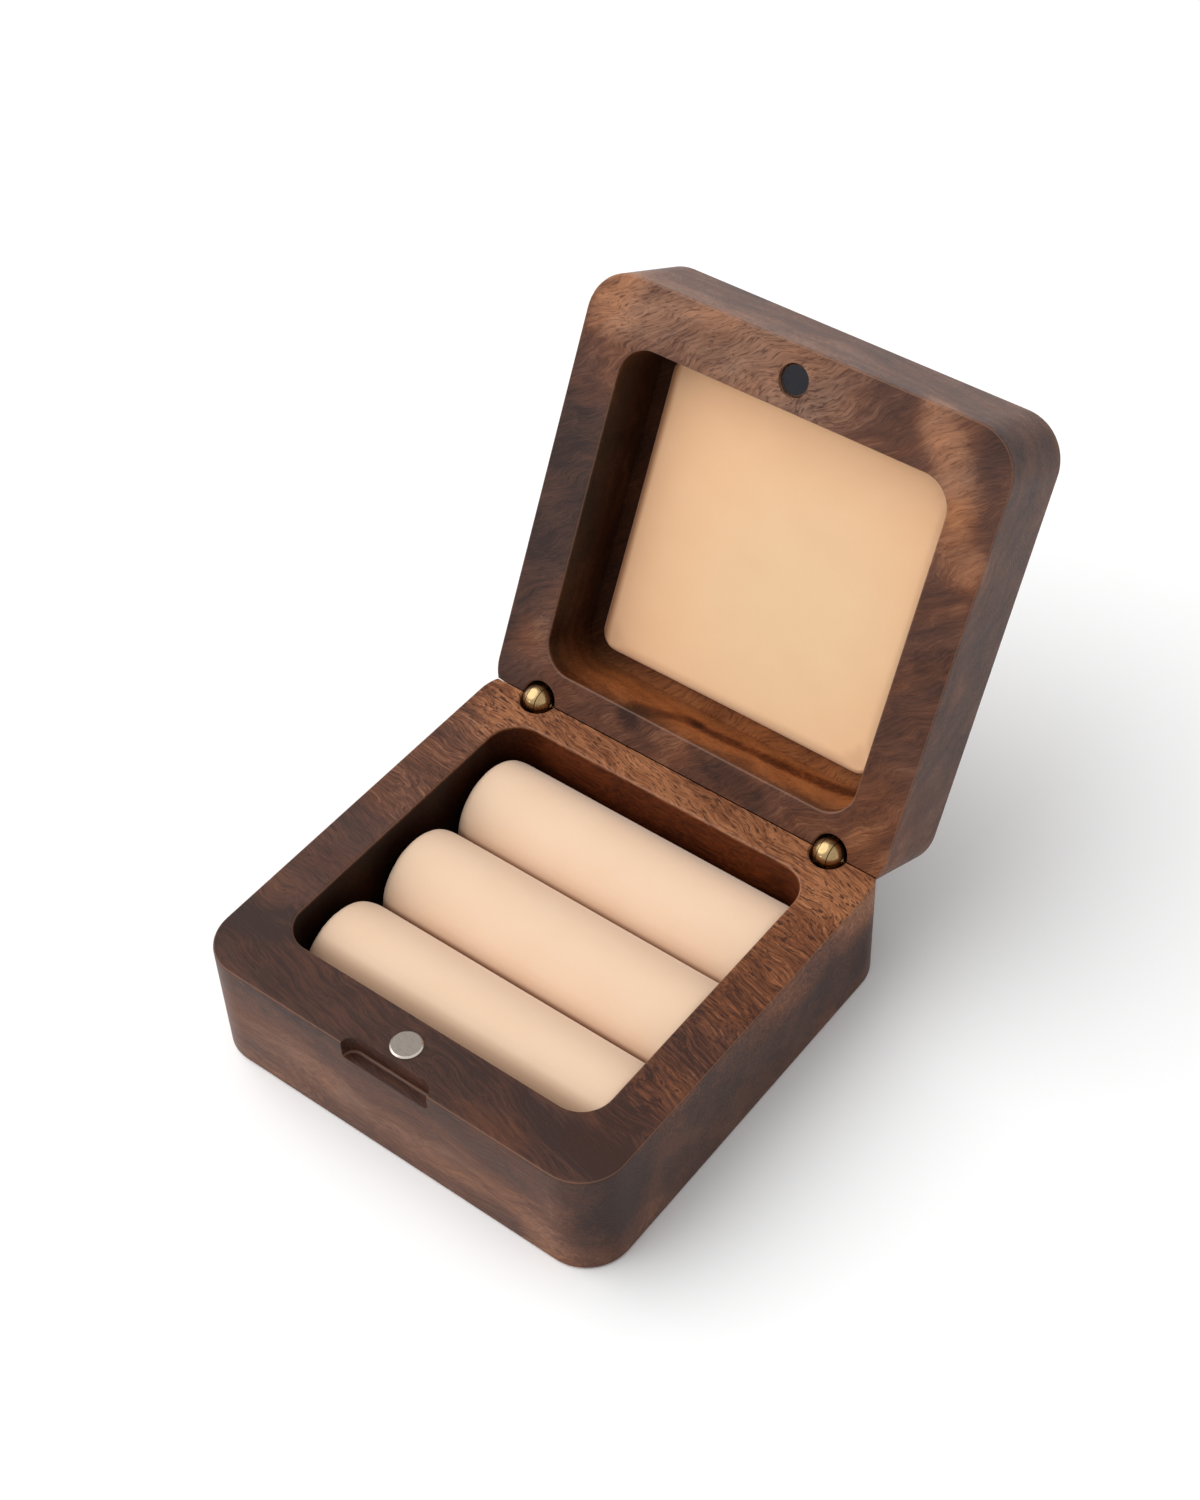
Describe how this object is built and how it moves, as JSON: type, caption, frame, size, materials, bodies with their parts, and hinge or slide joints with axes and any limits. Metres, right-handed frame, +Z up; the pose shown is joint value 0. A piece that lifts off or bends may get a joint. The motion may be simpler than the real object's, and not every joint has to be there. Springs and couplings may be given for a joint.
{
  "type": "wedding ring box",
  "caption": "Small square wooden ring box, standing open: hinged lid with magnets, padded liner and soft rolls that grip rings.",
  "frame": {"origin": "centre of the base block's underside, on the surface the box stands on", "axes": "+X to the right along the front, +Y from the front to the hinges, +Z up"},
  "size_m": [0.062, 0.0966, 0.0701],
  "materials": {
    "walnut": "oiled, fine open grain",
    "brass": "turned, satin",
    "nickel": "nickel plated, satin",
    "microfibre": "short soft nap",
    "foam": "soft foam",
    "card": "grey board"
  },
  "bodies": {
    "base": {"base_block": "walnut", "base_magnet": "nickel", "hinge_left_fork": "brass", "hinge_left_pin": "brass", "hinge_right_fork": "brass", "hinge_right_pin": "brass", "insert_board": "card", "roll_back_core": "foam", "roll_back_cover": "microfibre", "roll_front_core": "foam", "roll_front_cover": "microfibre", "roll_middle_core": "foam", "roll_middle_cover": "microfibre"},
    "lid": {"lid_block": "walnut", "lid_magnet": "nickel", "hinge_left_tongue": "brass", "hinge_right_tongue": "brass", "liner_board": "card", "liner_foam": "foam", "liner_cover": "microfibre"}
  },
  "joints": [
    {"name": "lid_hinge", "type": "hinge", "parent": "base", "child": "lid", "pos_m": [0, 0.0275, 0.01787], "axis": [1, 0, 0], "range_deg": [0, 116.4]}
  ]
}
